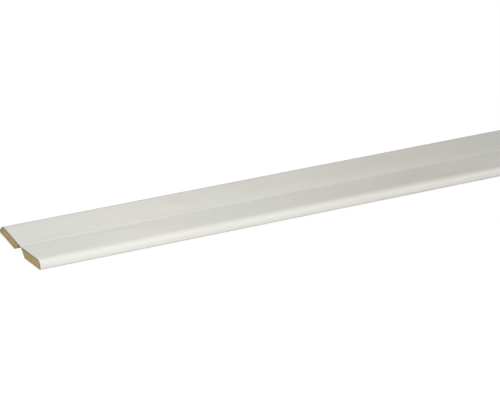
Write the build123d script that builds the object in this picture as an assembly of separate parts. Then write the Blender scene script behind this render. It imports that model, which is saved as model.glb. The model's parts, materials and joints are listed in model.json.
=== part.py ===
"""Folding corner moulding: two mitred fibreboard strips side by side under one wrapped decor foil.

The foil is the only thing that joins the strips, and it is the hinge. Folded down to a right angle
the two mitred faces close on each other and the moulding covers an outside corner. It lies here as
it was delivered, opened out and bent back a little past flat.

Frame: X runs along the moulding, Y across it, Z up. The origin is under the middle of the
length, on the surface that it lies on. A leg's own section is drawn with u outwards from the
fold line and v up from the face of its board, and is then tilted into place.
"""
import math
import os

from build123d import *

# Driving dimensions, in millimetres and degrees
length = 2600.0             # one full length as sold
leg_width = 22.5            # fold line to the outermost face of one leg, over the foil
board_thickness = 5.0       # the bare fibreboard strip
foil_thickness = 0.3        # the decor foil that wraps both strips
edge_lean = 26.0            # how far the long outer edge leans in from upright, towards the top
nosing_radius = 2.8         # rounding of a board's upper long edge, under the foil
under_edge_radius = 0.7     # smaller rounding of its lower long edge, under the foil
foil_under_width = 4.0      # how far in under a leg the foil ends, from its outermost face
groove_root_width = 0.4     # strip of foil left bare between the two boards at the fold
mitre_angle = 45.0          # a board's sawn mitre face, from upright
rest_bend = 12.0            # how far the two legs are bent back past flat as it lies

# Sizes that follow from them
leg_tilt = rest_bend / 2
lean_sine = math.sin(math.radians(edge_lean))
lean_cosine = math.cos(math.radians(edge_lean))
foil_end = leg_width - foil_under_width
mitre_top = groove_root_width / 2
mitre_foot = mitre_top + board_thickness * math.tan(math.radians(mitre_angle))

# The board is thinner by one foil where the foil turns in below it, so that the underside is
# flush. The centre of the lower rounding stands on that thinner board.
rebated_base = foil_thickness - board_thickness
under_centre_out = leg_width - foil_thickness - under_edge_radius
under_centre_up = rebated_base + under_edge_radius

# The fold line is as high as the inner bottom edges of the boards hang below it, because the
# moulding lies on those two edges
tilt_sine = math.sin(math.radians(leg_tilt))
tilt_cosine = math.cos(math.radians(leg_tilt))
fold_height = board_thickness * tilt_cosine - mitre_foot * tilt_sine


def leaning_edge(cover, height):
    """How far out the leaning edge is at a height, on a line a cover thickness outside the board.

    The line touches the lower rounding, so it is the rounding's radius and the cover away from its
    centre, measured square to the lean.
    """
    rise = height - under_centre_up
    return under_centre_out + (under_edge_radius + cover - rise * lean_sine) / lean_cosine


def edge_path(cover, top_start):
    """Line round a leg's long edge, a cover thickness outside the board.

    It runs outwards over the top, round the nosing, down the leaning edge, round the lower edge
    and back in below as far as the foil reaches.
    """
    base = rebated_base - cover
    nosing = (leaning_edge(cover, cover), cover)
    lower_edge = (leaning_edge(cover, base), base)
    corners = [(top_start, cover), nosing, lower_edge, (foil_end, base)]
    return FilletPolyline(*corners, radius=[nosing_radius + cover, under_edge_radius + cover])


def board_section():
    """Section of one board: rounded and leaning outside, rebated for the foil, mitred inside."""
    edge = edge_path(0, mitre_top)
    underside = [(foil_end, -board_thickness), (mitre_foot, -board_thickness)]
    return make_face([edge, Polyline(edge @ 1, *underside, edge @ 0)])


def foil_section():
    """Section of the foil on one leg, cut off square at the middle of the fold.

    Its outer line starts a little further out than its inner one, so that the two halves meet
    in one upright face when both are tilted.
    """
    inner = edge_path(0, 0)
    outer = edge_path(foil_thickness, foil_thickness * tilt_sine / tilt_cosine)
    ends = [Line(outer @ 1, inner @ 1), Line(inner @ 0, outer @ 0)]
    return make_face([outer, inner] + ends)


def tilted(section):
    """The section on the +Y side, turned up about the fold line and raised to its height."""
    return Pos(0, fold_height) * Rot(0, 0, leg_tilt) * section


def run_out(section):
    """The section, drawn across the moulding, carried along its whole length."""
    return extrude(Plane.YZ * section, amount=length / 2, both=True)


back_section = tilted(board_section())
front_section = mirror(back_section, about=Plane.YZ)
foil_half = tilted(foil_section())
foil_whole = foil_half + mirror(foil_half, about=Plane.YZ)

parts = {
    "front_leg_board": run_out(front_section),
    "back_leg_board": run_out(back_section),
    "decor_foil": run_out(foil_whole),
}

os.makedirs("parts", exist_ok=True)
for node, shape in parts.items():
    export_step(shape, f"parts/{node}.step")
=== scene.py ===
"""Folding corner moulding, as it lies before it is fitted.

Two mitred fibreboard strips lie side by side under one wrapped foil with a whitewashed pine decor.
Everything is in metres, in the frame of the solids: X along the moulding, Y across it, Z up.
A leg's section is worked out with u outwards from the fold line and v up from its board's face.
"""

import json
import math

import bpy
import numpy as np
from mathutils import Matrix, Vector


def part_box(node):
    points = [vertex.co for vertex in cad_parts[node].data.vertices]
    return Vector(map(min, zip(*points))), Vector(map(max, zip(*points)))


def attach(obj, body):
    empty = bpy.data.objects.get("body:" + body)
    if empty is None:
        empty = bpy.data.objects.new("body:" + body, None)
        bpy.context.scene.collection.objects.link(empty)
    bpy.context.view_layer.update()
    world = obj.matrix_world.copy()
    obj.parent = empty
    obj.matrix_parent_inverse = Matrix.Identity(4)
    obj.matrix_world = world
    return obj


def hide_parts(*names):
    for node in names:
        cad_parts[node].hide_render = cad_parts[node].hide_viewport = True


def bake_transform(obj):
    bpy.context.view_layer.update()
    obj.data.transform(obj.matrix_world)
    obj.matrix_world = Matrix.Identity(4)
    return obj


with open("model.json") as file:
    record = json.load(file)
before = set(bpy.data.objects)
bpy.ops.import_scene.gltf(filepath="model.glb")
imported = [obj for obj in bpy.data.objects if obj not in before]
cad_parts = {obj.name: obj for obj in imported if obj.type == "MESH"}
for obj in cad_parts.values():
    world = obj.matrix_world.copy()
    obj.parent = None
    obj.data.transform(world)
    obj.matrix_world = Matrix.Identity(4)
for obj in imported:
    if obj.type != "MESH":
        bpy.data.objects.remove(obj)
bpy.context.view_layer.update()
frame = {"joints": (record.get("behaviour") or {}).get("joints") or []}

MM = 0.001

# Sizes of the moulding, the same ones that its solids have
LEG_WIDTH = 22.5 * MM
BOARD_THICKNESS = 5.0 * MM
FOIL_THICKNESS = 0.3 * MM
EDGE_LEAN = 26.0
NOSING_RADIUS = 2.8 * MM
UNDER_EDGE_RADIUS = 0.7 * MM
FOIL_UNDER_WIDTH = 4.0 * MM
GROOVE_ROOT = 0.4 * MM
MITRE_ANGLE = 45.0
LEG_TILT = math.radians(6.0)

# Taken from the frame: the fold line is the hinge, and the foil is as long as the moulding
FOLD = Vector(frame["joints"][0]["pos_m"])
HALF_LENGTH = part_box("decor_foil")[1].x

# The crease that is pressed into the foil, and how far to each side the foil bends in a fold
CREASE_DIP = 0.11 * MM
CREASE_WIDTH = 0.9 * MM
CREASE_ROUND = 0.5 * MM
CREASE_ZONE = 4.0 * MM

# Small forms that the solids leave out: the broken sawn edges and the fuller leaning face
SAWN_EDGE = 0.12 * MM
EDGE_BULGE = 6.0

# How finely the surfaces are divided
ARC_STEPS = 14
FACE_STEPS = 8
CREASE_STEPS = 17
FLAT_STEPS = 7
NOSING_LEAD = 0.15 * MM
STATION_GAP = 20.0 * MM
SHARP_ANGLE = 30.0

# Centres of a leg's two roundings, which board and foil share. The nosing's centre is its radius
# below the board's face, and so far out that one line with the edge's lean touches both circles
lean_sine = math.sin(math.radians(EDGE_LEAN))
lean_cosine = math.cos(math.radians(EDGE_LEAN))
rebated_base = FOIL_THICKNESS - BOARD_THICKNESS
lower_centre = (LEG_WIDTH - FOIL_THICKNESS - UNDER_EDGE_RADIUS, rebated_base + UNDER_EDGE_RADIUS)
centre_drop = lean_sine * (NOSING_RADIUS + lower_centre[1])
nosing_centre = (
    lower_centre[0] + (UNDER_EDGE_RADIUS - NOSING_RADIUS + centre_drop) / lean_cosine,
    -NOSING_RADIUS,
)
foil_end = LEG_WIDTH - FOIL_UNDER_WIDTH
mitre_top = GROOVE_ROOT / 2
mitre_foot = mitre_top + BOARD_THICKNESS * math.tan(math.radians(MITRE_ANGLE))


def arc(centre, radius, first, last):
    """Points of an arc: its centre plus the radius times the cosine and sine of an even turn."""
    turn = np.radians(np.linspace(first, last, ARC_STEPS + 1))
    return np.stack([centre[0] + radius * np.cos(turn), centre[1] + radius * np.sin(turn)], 1)


def laid(section, side):
    """A leg's points (u, v) turned up by the leg's tilt about the fold line, on one side of it.

    y is u times the tilt's cosine less v times its sine, and z is the fold line's height plus
    u times the sine plus v times the cosine.
    """
    u, v = section[:, 0], section[:, 1]
    y = u * math.cos(LEG_TILT) - v * math.sin(LEG_TILT)
    z = FOLD.z + u * math.sin(LEG_TILT) + v * math.cos(LEG_TILT)
    return np.stack([side * y, z], 1)


def bulged_face(start, end):
    """Points between the two roundings, on a cubic curve a little fuller than a straight line.

    It leaves and arrives along the roundings' own directions, which are the bulge above and
    below the lean. Its inner two controls are a third of the distance along these directions.
    """
    turn = np.radians([EDGE_LEAN + EDGE_BULGE, EDGE_LEAN - EDGE_BULGE])
    heading = np.stack([np.sin(turn), -np.cos(turn)], 1)
    reach = np.hypot(*(end - start)) / 3
    first, second = start + reach * heading[0], end - reach * heading[1]
    t = np.linspace(0, 1, FACE_STEPS + 1)[1:-1, None]
    outer_terms = (1 - t) ** 3 * start + t ** 3 * end
    return outer_terms + 3 * (1 - t) ** 2 * t * first + 3 * (1 - t) * t ** 2 * second


def round_the_edge(cover):
    """A leg's long edge from the top's end to the foil's end below, a cover outside the board.

    It is an arc of the nosing and one of the lower rounding, with the cover added to their radii,
    the fuller face between them and a straight line in to the foil's end.
    """
    nosing = arc(nosing_centre, NOSING_RADIUS + cover, 90, EDGE_LEAN + EDGE_BULGE)
    lower = arc(lower_centre, UNDER_EDGE_RADIUS + cover, EDGE_LEAN - EDGE_BULGE, -90)
    face = bulged_face(nosing[-1], lower[0])
    underside = np.array([[foil_end, rebated_base - cover]])
    return np.concatenate([nosing, face, lower, underside])


def crease(y):
    """Height of the foil's face over its two flat planes, near the fold.

    The planes' sharp valley is rounded to a hyperbola, and a pressed groove with the outline of a
    bell curve is taken out of it.
    """
    rounding = math.tan(LEG_TILT) * (np.sqrt(y ** 2 + CREASE_ROUND ** 2) - y)
    return rounding - CREASE_DIP * np.exp(-(y / CREASE_WIDTH) ** 2)


def foil_half():
    """The foil's outer and inner lines on the back leg, from the fold out, point for point.

    Over the board's flat face the two lines are straight and a foil apart, with the crease added
    to the outer one. Their points lie closer towards the fold, by the square of an even count,
    and then run on to the nosing.
    """
    outer_edge = laid(round_the_edge(FOIL_THICKNESS), 1)
    inner_edge = laid(round_the_edge(0), 1)
    nosing_y = outer_edge[0, 0]
    near = CREASE_ZONE * (np.arange(CREASE_STEPS + 1) / CREASE_STEPS) ** 2
    far = np.linspace(CREASE_ZONE, nosing_y, FLAT_STEPS + 1)[1:-1]
    y = np.concatenate([near, far, [nosing_y - NOSING_LEAD]])
    outer_z = FOLD.z + FOIL_THICKNESS / math.cos(LEG_TILT) + y * math.tan(LEG_TILT) + crease(y)
    inner_z = FOLD.z + y * math.tan(LEG_TILT)
    outer = np.concatenate([np.stack([y, outer_z], 1), outer_edge])
    inner = np.concatenate([np.stack([y, inner_z], 1), inner_edge])
    return outer, inner


def stations():
    """Places along the length, evenly spaced from end to end."""
    count = round(2 * HALF_LENGTH / STATION_GAP)
    return np.linspace(-HALF_LENGTH, HALF_LENGTH, count + 1)


def ring_faces(rows, columns):
    """Quads of a closed tube of `rows` rings with `columns` points each, facing outwards.

    The rings' points run the way that is clockwise when seen from the far end.
    """
    row = np.arange(rows - 1)[:, None] * columns
    here = np.arange(columns)[None, :]
    after = np.roll(here, -1, 1)
    quads = np.stack([row + here, row + after, row + columns + after, row + columns + here], -1)
    return quads.reshape(-1, 4)


def put_mesh(name, points, faces, uv_of_points):
    """A piece from arrays of points and faces, with its pattern laid on by a place per point."""
    mesh = bpy.data.meshes.new(name)
    mesh.from_pydata(points.tolist(), [], faces)
    layer = mesh.uv_layers.new(name="decor")
    corner_points = np.empty(len(mesh.loops), np.int32)
    mesh.loops.foreach_get("vertex_index", corner_points)
    layer.data.foreach_set("uv", uv_of_points[corner_points].astype(np.float32).ravel())
    mesh.validate()
    mesh.shade_smooth()
    mesh.set_sharp_from_angle(angle=math.radians(SHARP_ANGLE))
    piece = bpy.data.objects.new(name, mesh)
    bpy.context.scene.collection.objects.link(piece)
    return piece


def carried(section, places):
    """A section of (y, z) points set at each place along X, as one array of points."""
    x = np.repeat(places, len(section))
    yz = np.tile(section, (len(places), 1))
    return np.column_stack([x, yz])


def make_foil():
    """The wrapped foil: its closed section carried along the length and capped at both ends.

    The pattern's place is the distance along the moulding and the distance over the foil's
    outer line from the fold, so the decor wraps round the nosings as the printed sheet does.
    """
    outer, inner = foil_half()
    mirror_image = np.array([-1.0, 1.0])
    outer_line = np.concatenate([(outer * mirror_image)[:0:-1], outer])
    inner_line = np.concatenate([(inner * mirror_image)[:0:-1], inner])
    section = np.concatenate([outer_line, inner_line[::-1]])
    places = stations()
    points = carried(section, places)
    steps = np.hypot(*np.diff(outer_line, axis=0).T)
    over = np.concatenate([[0], np.cumsum(steps)])
    over -= over[len(outer) - 1]
    across = np.tile(np.concatenate([over, over[::-1]]), len(places))
    faces = ring_faces(len(places), len(section)).tolist()
    count = len(outer_line)
    out_now = np.arange(count - 1)
    in_now = 2 * count - 1 - out_now
    cap = np.stack([out_now, in_now, in_now - 1, out_now + 1], 1)
    last = (len(places) - 1) * len(section)
    faces += cap.tolist()
    faces += (cap[:, ::-1] + last).tolist()
    return put_mesh("decor_foil_wrap", points, faces, np.column_stack([points[:, 0], across]))


def board_outline():
    """A board's closed outline in its leg's own section, from the mitre's top outwards."""
    edge = round_the_edge(0)
    top = np.array([[mitre_top, 0.0]])
    below = np.array([[foil_end, -BOARD_THICKNESS], [mitre_foot, -BOARD_THICKNESS]])
    return np.concatenate([top, edge, below])


def drawn_in(outline, depth):
    """A closed clockwise outline moved inwards by a depth.

    Each point goes along the sum of the normals of its two sides, divided by one plus their
    product, which keeps every side parallel to itself.
    """
    side = np.roll(outline, -1, 0) - outline
    normal = np.stack([side[:, 1], -side[:, 0]], 1)
    normal /= np.hypot(*normal.T)[:, None]
    before = np.roll(normal, 1, 0)
    spread = 1 + (normal * before).sum(1)
    return outline + depth * (normal + before) / spread[:, None]


def make_board(name, side):
    """One fibreboard strip: its outline carried along the length, with its sawn edges broken.

    The first and last rings are the outline drawn in by the broken edge's size, and their next
    ones are the whole outline, as far in from the ends.
    """
    outline = board_outline()
    worn = drawn_in(outline, SAWN_EDGE)
    inner_places = stations()
    inner_places[0] += SAWN_EDGE
    inner_places[-1] -= SAWN_EDGE
    ends = np.array([-HALF_LENGTH]), np.array([HALF_LENGTH])
    points = np.concatenate([
        carried(laid(worn, side), ends[0]),
        carried(laid(outline, side), inner_places),
        carried(laid(worn, side), ends[1]),
    ])
    rows = len(inner_places) + 2
    faces = ring_faces(rows, len(outline))
    last = (rows - 1) * len(outline)
    caps = [np.arange(len(outline))[::-1], np.arange(len(outline)) + last]
    if side < 0:
        faces = faces[:, ::-1]
        caps = [cap[::-1] for cap in caps]
    face_list = faces.tolist() + [cap.tolist() for cap in caps]
    return put_mesh(name, points, face_list, points[:, :2])


class Nodes:
    """A material's node tree, with short calls that add and join nodes."""

    def __init__(self, material):
        material.use_nodes = True
        self.tree = material.node_tree
        self.tree.nodes.clear()

    def add(self, kind, **settings):
        node = self.tree.nodes.new(kind)
        for key, value in settings.items():
            setattr(node, key, value)
        return node

    def link(self, source, target):
        self.tree.links.new(source, target)

    def fill(self, socket, value):
        """Join a socket to another one, or set the value that it holds."""
        if isinstance(value, bpy.types.NodeSocket):
            self.link(value, socket)
        else:
            socket.default_value = value

    def math(self, operation, first, second=None, third=None):
        node = self.add("ShaderNodeMath", operation=operation)
        for socket, value in zip(node.inputs, (first, second, third)):
            if value is not None:
                self.fill(socket, value)
        return node.outputs[0]

    def noise(self, vector, scale, detail, roughness=0.5, distortion=0.0):
        node = self.add("ShaderNodeTexNoise")
        self.link(vector, node.inputs["Vector"])
        node.inputs["Scale"].default_value = scale
        node.inputs["Detail"].default_value = detail
        node.inputs["Roughness"].default_value = roughness
        node.inputs["Distortion"].default_value = distortion
        return node.outputs["Fac"]

    def vector(self, x, y, z=0.0):
        node = self.add("ShaderNodeCombineXYZ")
        for socket, value in zip(node.inputs, (x, y, z)):
            self.fill(socket, value)
        return node.outputs[0]

    def parts_of(self, vector):
        node = self.add("ShaderNodeSeparateXYZ")
        self.link(vector, node.inputs[0])
        return node.outputs

    def ramp(self, value, low, high):
        """0 below low, 1 above high and smooth between."""
        node = self.add("ShaderNodeMapRange", interpolation_type="SMOOTHSTEP")
        self.link(value, node.inputs["Value"])
        node.inputs["From Min"].default_value = low
        node.inputs["From Max"].default_value = high
        return node.outputs["Result"]

    def fade(self, value, low, high):
        """1 below low, 0 above high and smooth between."""
        return self.math("SUBTRACT", 1.0, self.ramp(value, low, high))

    def mix(self, share, first, second):
        node = self.add("ShaderNodeMix", data_type="RGBA")
        self.fill(node.inputs["Factor"], share)
        for name, value in (("A", first), ("B", second)):
            socket = [s for s in node.inputs if s.name == name and s.type == "RGBA"][0]
            self.fill(socket, value)
        return [s for s in node.outputs if s.type == "RGBA"][0]

    def tint(self, tone, colour_over, where, share):
        """A tone with a colour laid over it, with a share of full cover where `where` is 1."""
        return self.mix(self.math("MULTIPLY", where, share), tone, colour_over)

    def bump(self, height, strength, distance):
        node = self.add("ShaderNodeBump")
        node.inputs["Strength"].default_value = strength
        node.inputs["Distance"].default_value = distance
        self.link(height, node.inputs["Height"])
        return node.outputs["Normal"]

    def surface(self, tone, roughness, normal):
        shader = self.add("ShaderNodeBsdfPrincipled")
        self.fill(shader.inputs["Base Color"], tone)
        self.fill(shader.inputs["Roughness"], roughness)
        self.fill(shader.inputs["Normal"], normal)
        output = self.add("ShaderNodeOutputMaterial")
        self.link(shader.outputs[0], output.inputs["Surface"])
        return shader


def colour(red, green, blue):
    """A linear colour with full cover."""
    return (red, green, blue, 1.0)


# Decor foil, in linear colours: the whitewashed ground and what is printed into it. The pale colour
# is also painted light on the front leg, the grey is also painted shade by the back leg's outer
# edge, and the palest is painted highlight
FOIL_GROUND = colour(0.722, 0.713, 0.660)
FOIL_GREY = colour(0.655, 0.652, 0.606)
FOIL_WARM = colour(0.702, 0.662, 0.585)
FOIL_COOL = colour(0.703, 0.705, 0.668)
FOIL_PALE = colour(0.774, 0.768, 0.714)
# Painted highlight, for the crease and the front nosing
FOIL_PAINTED_HIGHLIGHT = colour(0.790, 0.785, 0.740)
FOIL_PORE = colour(0.560, 0.530, 0.460)
FOIL_CUT = colour(0.520, 0.450, 0.380)

# The foil's mirror level, its roughness, and how much its pores can add to that. Then its relief
# as strength and depth, and the pores' share of it, with the rest left to the streaks
FOIL_MIRROR = 0.5
FOIL_ROUGHNESS = 0.38
PORE_ROUGHNESS = 0.14
FOIL_BUMP = (0.25, 0.05 * MM)
PORE_RELIEF = 0.5

# The print's noises: waves a metre along the sheet and across it, detail, and shift along it
PRINT_NOISES = {
    "push": (4.0, 16.0, 2.0, 3.1),
    "wobble": (26.0, 240.0, 2.0, 0.0),
    "growth shown": (9.0, 75.0, 2.0, 8.4),
    "broad": (10.0, 170.0, 3.0, 0.0),
    "streaks": (15.0, 650.0, 4.0, 0.0),
    "grained": (22.0, 420.0, 3.0, 0.0),
    "pores": (110.0, 4300.0, 2.0, 0.0),
    "slow warm": (6.0, 45.0, 2.0, 5.7),
    "slow cool": (7.0, 50.0, 2.0, 1.9),
}

# Between which two values of its noise each printed thing comes in
PRINT_RANGES = {
    "growth shown": (0.42, 0.68),
    "broad": (0.42, 0.74),
    "streaks": (0.45, 0.78),
    "grained": (0.30, 0.62),
    "pores": (0.58, 0.80),
    "slow warm": (0.50, 0.72),
    "slow cool": (0.54, 0.76),
}

# How far the slow noise can push the grain and a finer one its growth lines. Then the gap from
# one growth line to the next, and the part of its wave, from -1 to 1, over which a line darkens
GRAIN_PUSH = 50.0 * MM
GRAIN_WOBBLE = 2.2 * MM
GROWTH_GAP = 2.9 * MM
GROWTH_CREST = (-0.3, 1.0)

# How much of its colour each printed thing has where it is strongest, and where the painted light
# that makes the front leg paler begins, by the distance over the foil from the fold
GREY_SHARE = 0.60
PALE_SHARE = 0.95
FRONT_PAINTED_LIGHT_SHARE = 0.15
FRONT_PAINTED_LIGHT = (1.0 * MM, 4.0 * MM)
COOL_SHARE = 0.60
WARM_SHARE = 0.80
WARM_BETWEEN_GRAIN = 0.30
STREAK_SHARE = 0.40
GROWTH_SHARE = 0.50
GROWTH_LOST_IN_PALE = 0.80
PORE_SHARE = 0.24

# Where the print is warmer, cooler or paler near the end that the photograph shows, in
# millimetres: how far from the end, how far over the foil from the fold, half as long, half as wide
WARM_PATCHES = (
    (113, 11, 9, 8),
    (163, 13, 14, 6),
    (250, 12, 62, 5),
    (200, -12, 26, 9),
    (268, -11, 34, 9),
    (240, -22, 62, 2),
)
COOL_PATCHES = ((8, -2, 44, 34), (137, 8, 15, 10), (146, -10, 34, 9))
PALE_PATCHES = ((22, -13, 58, 10), (330, -9, 50, 9))

# Where a patch has faded out, how far the noises can push its edges along the sheet and across
# it, and where along the moulding the patches give way to the slow noises
PATCH_END = 2.3
PATCH_PUSH_ALONG = 50.0 * MM
PATCH_PUSH_ACROSS = 12.0 * MM
BEYOND_PATCHES = (280.0 * MM, 400.0 * MM)

# Painted light on the foil: a painted highlight along the crease and along the front nosing, and
# painted shade near the back leg's outer edge, with how much each shows.
# The last value is how near to its end the foil counts as cut
CREASE_HIGHLIGHT_SHARE = 0.35
CREASE_HIGHLIGHT = (0.1 * MM, 1.1 * MM)
# Painted highlight along the front leg before its nosing
NOSING_HIGHLIGHT_LINE = 19.3 * MM
NOSING_HIGHLIGHT = (0.2 * MM, 2.8 * MM)
NOSING_HIGHLIGHT_SHARE = 0.55
# Painted shade near the back leg's outer edge
BACK_EDGE_SHADE = (15.0 * MM, 20.0 * MM)
BACK_EDGE_SHADE_SHARE = 0.30
CUT_DEPTH = 0.002 * MM


def patch(n, s, w, place):
    """1 in the middle of a soft oval patch of the print and 0 outside it.

    It fades with the sum of the squares of the distances along and across, each as a share of
    the patch's half length and half width, and is gone where that sum reaches the patch's end.
    """
    along, over, half_length, half_width = (value * MM for value in place)
    off_s = n.math("DIVIDE", n.math("SUBTRACT", s, along), half_length)
    off_w = n.math("DIVIDE", n.math("SUBTRACT", w, over), half_width)
    off = n.math("ADD", n.math("MULTIPLY", off_s, off_s), n.math("MULTIPLY", off_w, off_w))
    return n.fade(off, 0.0, PATCH_END)


def strongest_patch(n, s, w, places):
    """The largest value that any of several patches has."""
    strongest = patch(n, s, w, places[0])
    for place in places[1:]:
        strongest = n.math("MAXIMUM", strongest, patch(n, s, w, place))
    return strongest


def print_noise(n, name, s, w):
    """One of the print's noises, stretched by its waves along the sheet and across it."""
    along, across, detail, shift = PRINT_NOISES[name]
    x = n.math("MULTIPLY_ADD", s, along, shift)
    return n.noise(n.vector(x, n.math("MULTIPLY", w, across)), scale=1.0, detail=detail)


def come_in(n, name, noise):
    """0 where one of the print's noises is below its range, 1 above it and smooth between."""
    return n.ramp(noise, *PRINT_RANGES[name])


def pushed(n, place, noise, reach):
    """A place pushed to and fro by a noise: the noise times the reach, less half the reach."""
    return n.math("MULTIPLY_ADD", noise, reach, n.math("ADD", place, -reach / 2))


def pine_print_and_painted_light(n, s, w):
    """Whitewashed pine print with painted light: its colour, and the streaks and pores that also
    roughen it.

    A slow noise pushes w to and fro by about a centimetre, so that lines of even w run aslant
    and close into tongues. The growth lines are a sine of the pushed w. They show only where
    another slow noise lets them, and fade where the print is pale. The streaks and pores between
    them are noises stretched along s. The warm, cool and pale patches near the end have edges
    that the print's own noises push about. Beyond them slow noises alone make it warmer or cooler.
    The front leg is made a little paler as painted light.
    """
    grain_w = pushed(n, w, print_noise(n, "push", s, w), GRAIN_PUSH)
    broad = print_noise(n, "broad", s, grain_w)
    streaks = print_noise(n, "streaks", s, grain_w)
    pores = print_noise(n, "pores", s, grain_w)
    wobble = print_noise(n, "wobble", s, grain_w)
    lines_w = n.math("MULTIPLY_ADD", wobble, GRAIN_WOBBLE, grain_w)
    waves = n.math("SINE", n.math("MULTIPLY", lines_w, 2 * math.pi / GROWTH_GAP))
    shown = come_in(n, "growth shown", print_noise(n, "growth shown", s, w))
    growth = n.math("MULTIPLY", n.ramp(waves, *GROWTH_CREST), shown)

    edge_s = pushed(n, s, broad, PATCH_PUSH_ALONG)
    edge_w = pushed(n, w, streaks, PATCH_PUSH_ACROSS)
    warm_near = strongest_patch(n, edge_s, edge_w, WARM_PATCHES)
    cool_near = strongest_patch(n, edge_s, edge_w, COOL_PATCHES)
    pale_near = strongest_patch(n, edge_s, edge_w, PALE_PATCHES)
    beyond = n.ramp(s, *BEYOND_PATCHES)
    slow_warm = come_in(n, "slow warm", print_noise(n, "slow warm", s, grain_w))
    slow_cool = come_in(n, "slow cool", print_noise(n, "slow cool", s, grain_w))
    fine = come_in(n, "grained", print_noise(n, "grained", s, grain_w))
    grained = n.math("MULTIPLY_ADD", fine, 1 - WARM_BETWEEN_GRAIN, WARM_BETWEEN_GRAIN)
    warm = n.math("MULTIPLY", n.math("MULTIPLY_ADD", slow_warm, beyond, warm_near), grained)
    cool = n.math("MULTIPLY_ADD", slow_cool, beyond, cool_near)

    # Painted light: the front leg is made a little paler
    on_front = n.ramp(n.math("MULTIPLY", w, -1.0), *FRONT_PAINTED_LIGHT)
    front_painted_light = n.math("MULTIPLY", on_front, FRONT_PAINTED_LIGHT_SHARE)
    pale = n.math("MAXIMUM", n.math("MULTIPLY", pale_near, PALE_SHARE), front_painted_light)
    growth_left = n.math("MULTIPLY_ADD", pale_near, -GROWTH_LOST_IN_PALE, 1.0)
    tone = n.tint(FOIL_GROUND, FOIL_GREY, come_in(n, "broad", broad), GREY_SHARE)
    tone = n.mix(pale, tone, FOIL_PALE)
    tone = n.tint(tone, FOIL_COOL, cool, COOL_SHARE)
    tone = n.tint(tone, FOIL_WARM, warm, WARM_SHARE)
    tone = n.tint(tone, FOIL_WARM, come_in(n, "streaks", streaks), STREAK_SHARE)
    tone = n.tint(tone, FOIL_GREY, n.math("MULTIPLY", growth, growth_left), GROWTH_SHARE)
    tone = n.tint(tone, FOIL_PORE, come_in(n, "pores", pores), PORE_SHARE)
    return tone, streaks, pores


def painted_light_and_cut_ends(n, tone, s, w):
    """The print's colour with painted highlights and painted shade over it, and bare at the cut
    ends.

    It has a painted highlight along the crease and along the front nosing, by the distance of w
    from each line, and painted shade near the back leg's outer edge. The cut ends are the points
    that are as far from the middle as the foil goes.
    """
    # Painted highlight along the crease
    tone = n.tint(tone, FOIL_PAINTED_HIGHLIGHT, n.fade(n.math("ABSOLUTE", w), *CREASE_HIGHLIGHT), CREASE_HIGHLIGHT_SHARE)
    # Painted highlight along the front leg before its nosing
    from_nosing = n.math("ABSOLUTE", n.math("ADD", w, NOSING_HIGHLIGHT_LINE))
    tone = n.tint(tone, FOIL_PAINTED_HIGHLIGHT, n.fade(from_nosing, *NOSING_HIGHLIGHT), NOSING_HIGHLIGHT_SHARE)
    # Painted shade near the back leg's outer edge
    tone = n.tint(tone, FOIL_GREY, n.ramp(w, *BACK_EDGE_SHADE), BACK_EDGE_SHADE_SHARE)
    from_middle = n.math("ABSOLUTE", n.math("SUBTRACT", s, HALF_LENGTH))
    cut = n.math("GREATER_THAN", from_middle, HALF_LENGTH - CUT_DEPTH)
    return n.mix(cut, tone, FOIL_CUT)


def decor_foil_finish():
    """The satin decor foil, printed and then wrapped.

    Its pattern reads the foil's own sheet: s along the moulding from its near end and w over the
    foil from the fold, both in metres.
    """
    material = bpy.data.materials.new("decor_foil_finish")
    n = Nodes(material)
    sheet = n.parts_of(n.add("ShaderNodeUVMap", uv_map="decor").outputs[0])
    s, w = n.math("ADD", sheet["X"], HALF_LENGTH), sheet["Y"]
    tone, streaks, pores = pine_print_and_painted_light(n, s, w)
    tone = painted_light_and_cut_ends(n, tone, s, w)
    streak_relief = n.math("MULTIPLY", streaks, 1 - PORE_RELIEF)
    height = n.math("MULTIPLY_ADD", pores, PORE_RELIEF, streak_relief)
    rough = n.math("MULTIPLY_ADD", pores, PORE_ROUGHNESS, FOIL_ROUGHNESS)
    shader = n.surface(tone, rough, n.bump(height, *FOIL_BUMP))
    shader.inputs["Specular IOR Level"].default_value = FOIL_MIRROR
    return material


# Fibreboard, in linear colours: the core, its darker fibres, pale splinters and the pressed skin
BOARD_CORE = colour(0.67, 0.51, 0.225)
BOARD_FIBRE = colour(0.50, 0.385, 0.175)
BOARD_SPLINTER = colour(0.82, 0.70, 0.43)
BOARD_SKIN = colour(0.215, 0.175, 0.115)
BOARD_OLIVE = colour(0.30, 0.30, 0.17)
# Painted shade at the back board's mitre tip, where the V-groove is in shadow
BOARD_MITRE_SHADE = colour(0.12, 0.085, 0.035)
BOARD_ROUGHNESS = 0.85
BOARD_BUMP = (0.5, 0.12 * MM)

# Waves a metre of its felted fibres, of the clumps of them and of its cloudy colour. Across the
# moulding the felt has only a share of its waves, so the fibres are longer that way
FELT_WAVES = 2600.0
CLUMP_WAVES = 520.0
CLOUD_WAVES = 130.0
FELT_ACROSS = 0.45

# Between which two values of their noise the core, the clumps, the splinters and the clouds come in
CORE_RANGE = (0.35, 0.70)
CLUMP_RANGE = (0.52, 0.74)
SPLINTER_RANGE = (0.62, 0.80)
CLOUD_RANGE = (0.45, 0.70)

# How much of its colour each thing has where it is strongest, and where the local ones end
CLUMP_SHARE = 0.55
SPLINTER_SHARE = 0.45
CLOUD_SHARE = 0.30
SKIN_SHARE = 0.40
SKIN_DEPTH = 0.5 * MM
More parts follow.
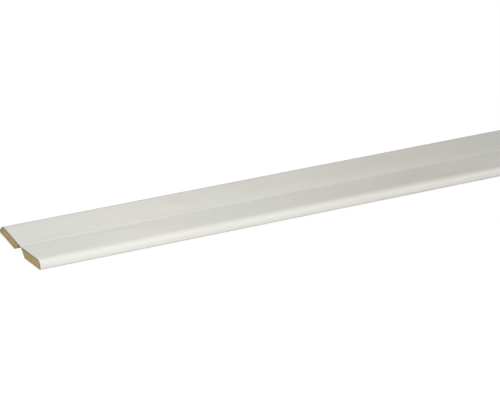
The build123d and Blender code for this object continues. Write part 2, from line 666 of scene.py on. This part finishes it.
# A dark line under the foil, along the board's face and its leaning edge
FACE_DARK_LINE_SHARE = 0.85
FACE_DARK_LINE = (-0.95 * MM, -0.25 * MM)
EDGE_DARK_LINE_SHARE = 0.75
EDGE_DARK_LINE = (0.1 * MM, 1.0 * MM)
OUTER_END_SHARE = 0.70
OUTER_END = (LEG_WIDTH - 5 * MM, LEG_WIDTH - 1 * MM)
OUTER_END_RISE = (-BOARD_THICKNESS, -1.5 * MM)
# Painted shade at the thin tip of the back board's mitre, for the shadow in the V-groove
MITRE_SHADE_SHARE = 0.85
MITRE_SHADE = (0.8 * MM, 4.0 * MM)
BACK_LEG_START = 0.05 * MM


def place_in_leg(n, y, z):
    """u and v in the leg's own section, from the place on the moulding turned back by the tilt.

    u is the distance across times the tilt's cosine plus the height over the fold line times its
    sine, and v is that height times the cosine less the distance times the sine.
    """
    across = n.math("ABSOLUTE", y)
    height = n.math("SUBTRACT", z, FOLD.z)
    cosine, sine = math.cos(LEG_TILT), math.sin(LEG_TILT)
    u = n.math("ADD", n.math("MULTIPLY", across, cosine), n.math("MULTIPLY", height, sine))
    v = n.math("SUBTRACT", n.math("MULTIPLY", height, cosine), n.math("MULTIPLY", across, sine))
    return u, v


def felted_fibres(n, place, felt):
    """Colour of the bare core: fibres, clumps and splinters by their noises, in olive clouds."""
    clumps = n.noise(place, CLUMP_WAVES, detail=3.0, roughness=0.55, distortion=0.6)
    cloud = n.noise(place, CLOUD_WAVES, detail=2.0)
    tone = n.mix(n.ramp(felt, *CORE_RANGE), BOARD_FIBRE, BOARD_CORE)
    tone = n.tint(tone, BOARD_FIBRE, n.ramp(clumps, *CLUMP_RANGE), CLUMP_SHARE)
    tone = n.tint(tone, BOARD_SPLINTER, n.ramp(felt, *SPLINTER_RANGE), SPLINTER_SHARE)
    return n.tint(tone, BOARD_OLIVE, n.ramp(cloud, *CLOUD_RANGE), CLOUD_SHARE)


def dark_line_under_foil(n, tone, u, v):
    """The colour darkened in a line under the foil, along the board's face and leaning edge.

    The distance in from the leaning edge is the lower rounding's radius plus the part of the way
    to its centre that goes square to the lean.
    """
    inwards = n.math("MULTIPLY", n.math("SUBTRACT", lower_centre[0], u), lean_cosine)
    below = n.math("MULTIPLY", n.math("SUBTRACT", lower_centre[1], v), lean_sine)
    from_edge = n.math("ADD", n.math("ADD", inwards, below), UNDER_EDGE_RADIUS)
    on_face = n.math("MULTIPLY", n.ramp(v, *FACE_DARK_LINE), FACE_DARK_LINE_SHARE)
    on_edge = n.math("MULTIPLY", n.fade(from_edge, *EDGE_DARK_LINE), EDGE_DARK_LINE_SHARE)
    return n.mix(n.math("MAXIMUM", on_face, on_edge), tone, BOARD_SKIN)


def fibreboard_finish():
    """Bare fibreboard: felted fibres in a tan core, and a denser, darker skin at both faces.

    A dark line runs under the foil. The back leg is olive at its outermost end, and
    the thin tip of its mitre has painted shade, for the shadow in the V-groove.
    """
    material = bpy.data.materials.new("fibreboard_finish")
    n = Nodes(material)
    place = n.add("ShaderNodeTexCoord").outputs["Object"]
    x, y, z = n.parts_of(place)
    u, v = place_in_leg(n, y, z)
    fibre_place = n.vector(x, n.math("MULTIPLY", y, FELT_ACROSS), z)
    felt = n.noise(fibre_place, FELT_WAVES, detail=3.0, roughness=0.6)
    tone = felted_fibres(n, place, felt)
    from_middle = n.math("ABSOLUTE", n.math("ADD", v, BOARD_THICKNESS / 2))
    skin = n.ramp(from_middle, BOARD_THICKNESS / 2 - SKIN_DEPTH, BOARD_THICKNESS / 2)
    tone = n.tint(tone, BOARD_SKIN, skin, SKIN_SHARE)
    tone = dark_line_under_foil(n, tone, u, v)
    outer_end = n.math("MULTIPLY", n.ramp(y, *OUTER_END), n.ramp(v, *OUTER_END_RISE))
    tone = n.tint(tone, BOARD_OLIVE, outer_end, OUTER_END_SHARE)
    # Painted shade at the mitre tip, for the shadow in the V-groove
    tip = n.math("MULTIPLY", n.fade(y, *MITRE_SHADE), n.ramp(y, 0.0, BACK_LEG_START))
    tone = n.tint(tone, BOARD_MITRE_SHADE, tip, MITRE_SHADE_SHARE)
    n.surface(tone, BOARD_ROUGHNESS, n.bump(felt, *BOARD_BUMP))
    return material


# Pale floor under soft light. Seen directly it is mostly even white, and the rest takes shadows
FLOOR_SIZE = 80.0
FLOOR_COLOUR = colour(0.87, 0.87, 0.87)
FLOOR_SHADOW_COLOUR = colour(0.15, 0.15, 0.15)
FLOOR_GLOW = 0.935
WORLD_LIGHT = 0.03


def seen_directly(n):
    """1 for the camera's own rays and for those mirrored or let through on the way to it."""
    path = n.add("ShaderNodeLightPath")
    mirrored = n.math("MAXIMUM", path.outputs["Is Glossy Ray"], path.outputs["Is Transmission Ray"])
    return n.math("MAXIMUM", path.outputs["Is Camera Ray"], mirrored)


def make_floor():
    """A level white floor, with an even white in its directly seen look that lifts the shadows."""
    half = FLOOR_SIZE / 2
    mesh = bpy.data.meshes.new("floor")
    corners = [(-half, -half, 0), (half, -half, 0), (half, half, 0), (-half, half, 0)]
    mesh.from_pydata(corners, [], [(0, 1, 2, 3)])
    floor = bpy.data.objects.new("floor", mesh)
    bpy.context.scene.collection.objects.link(floor)
    material = bpy.data.materials.new("white_floor")
    n = Nodes(material)
    seen = seen_directly(n)
    matt = n.add("ShaderNodeBsdfDiffuse")
    n.link(n.mix(seen, FLOOR_COLOUR, FLOOR_SHADOW_COLOUR), matt.inputs["Color"])
    glow = n.add("ShaderNodeEmission")
    n.link(n.math("MULTIPLY", seen, FLOOR_GLOW), glow.inputs["Strength"])
    both = n.add("ShaderNodeAddShader")
    n.link(matt.outputs[0], both.inputs[0])
    n.link(glow.outputs[0], both.inputs[1])
    output = n.add("ShaderNodeOutputMaterial")
    n.link(both.outputs[0], output.inputs["Surface"])
    mesh.materials.append(material)


def light_world():
    """An even white dome that lights softly and looks white where it is seen directly."""
    world = bpy.data.worlds.new("white_dome")
    bpy.context.scene.world = world
    n = Nodes(world)
    background = n.add("ShaderNodeBackground")
    background.inputs["Color"].default_value = colour(1.0, 1.0, 1.0)
    strength = n.math("MULTIPLY_ADD", seen_directly(n), 1.0 - WORLD_LIGHT, WORLD_LIGHT)
    n.link(strength, background.inputs["Strength"])
    output = n.add("ShaderNodeOutputWorld")
    n.link(background.outputs[0], output.inputs["Surface"])


# Two broad lamps far off light the whole length, and a softbox hangs over the near end.
# Each far lamp's place is its azimuth and elevation, then come its softness and its strength
KEY_LAMP = (50.0, 33.0, 30.0, 1.96)
FILL_LAMP = (-90.0, 15.0, 40.0, 1.0)
SOFTBOX_TARGET = Vector((-HALF_LENGTH + 0.05, 0, 0))
SOFTBOX_PLACE = SOFTBOX_TARGET + Vector((0, -0.06, 0.32))
SOFTBOX_SIZE = 0.20
SOFTBOX_POWER = 0.54


def aim(lamp, direction):
    """Turn a lamp so that it shines along a direction."""
    lamp.rotation_mode = "QUATERNION"
    lamp.rotation_quaternion = Vector(direction).to_track_quat("-Z", "Y")


def hang_far_lamp(name, azimuth, elevation, softness, strength):
    """A lamp so far off that its light comes along one direction, spread by its softness."""
    light = bpy.data.lights.new(name, "SUN")
    light.energy = strength
    light.angle = math.radians(softness)
    lamp = bpy.data.objects.new(name, light)
    bpy.context.scene.collection.objects.link(lamp)
    a, e = math.radians(azimuth), math.radians(elevation)
    source = Vector((math.sin(a) * math.cos(e), -math.cos(a) * math.cos(e), math.sin(e)))
    aim(lamp, -source)


def hang_softbox():
    """A small square lamp over the near end, which is why the moulding darkens away from it."""
    light = bpy.data.lights.new("softbox", "AREA")
    light.energy = SOFTBOX_POWER
    light.shape = "SQUARE"
    light.size = SOFTBOX_SIZE
    lamp = bpy.data.objects.new("softbox", light)
    bpy.context.scene.collection.objects.link(lamp)
    lamp.location = SOFTBOX_PLACE
    lamp.visible_camera = False
    aim(lamp, SOFTBOX_TARGET - SOFTBOX_PLACE)


# The photograph's view: a long lens that looks down along the moulding from its near end
IMAGE_WIDTH = 500
IMAGE_HEIGHT = 400
VIEW_AZIMUTH = 37.36
VIEW_ELEVATION = 28.00
VIEW_ROLL = 8.48
FOCAL_PIXELS = 3268.0
VIEW_DISTANCE = 1.797
NEAR_FOLD_PIXEL = (20.32, 246.78)


def set_camera():
    """Stand the camera where the near end of the fold line falls on its pixel, at its distance."""
    a, e, roll = (math.radians(d) for d in (VIEW_AZIMUTH, VIEW_ELEVATION, VIEW_ROLL))
    forward = Vector((math.sin(a) * math.cos(e), math.cos(a) * math.cos(e), -math.sin(e)))
    level = forward.cross(Vector((0, 0, 1))).normalized()
    upright = level.cross(forward)
    right = level * math.cos(roll) + upright * math.sin(roll)
    up = upright * math.cos(roll) - level * math.sin(roll)
    metres_a_pixel = VIEW_DISTANCE / FOCAL_PIXELS
    off_right = (NEAR_FOLD_PIXEL[0] - IMAGE_WIDTH / 2) * metres_a_pixel
    off_up = (IMAGE_HEIGHT / 2 - NEAR_FOLD_PIXEL[1]) * metres_a_pixel
    near_fold = Vector((-HALF_LENGTH, FOLD.y, FOLD.z))
    place = near_fold - forward * VIEW_DISTANCE - right * off_right - up * off_up
    lens = bpy.data.cameras.new("camera")
    lens.sensor_width = 36.0
    lens.lens = FOCAL_PIXELS / IMAGE_WIDTH * lens.sensor_width
    lens.clip_start = 0.05
    lens.clip_end = 100.0
    camera = bpy.data.objects.new("camera", lens)
    bpy.context.scene.collection.objects.link(camera)
    turn = Matrix((right, up, -forward)).transposed()
    camera.matrix_world = Matrix.Translation(place) @ turn.to_4x4()
    bpy.context.scene.camera = camera


bpy.context.scene.view_settings.view_transform = "Standard"

foil_finish = decor_foil_finish()
board_finish = fibreboard_finish()

foil = make_foil()
foil.data.materials.append(foil_finish)
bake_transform(foil)
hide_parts("decor_foil")

for leg, side in (("front_leg", -1), ("back_leg", 1)):
    board = make_board(f"{leg}_fibreboard", side)
    board.data.materials.append(board_finish)
    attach(board, leg)
    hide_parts(f"{leg}_board")

make_floor()
light_world()
hang_far_lamp("key", *KEY_LAMP)
hang_far_lamp("fill", *FILL_LAMP)
hang_softbox()
set_camera()

bpy.context.view_layer.update()
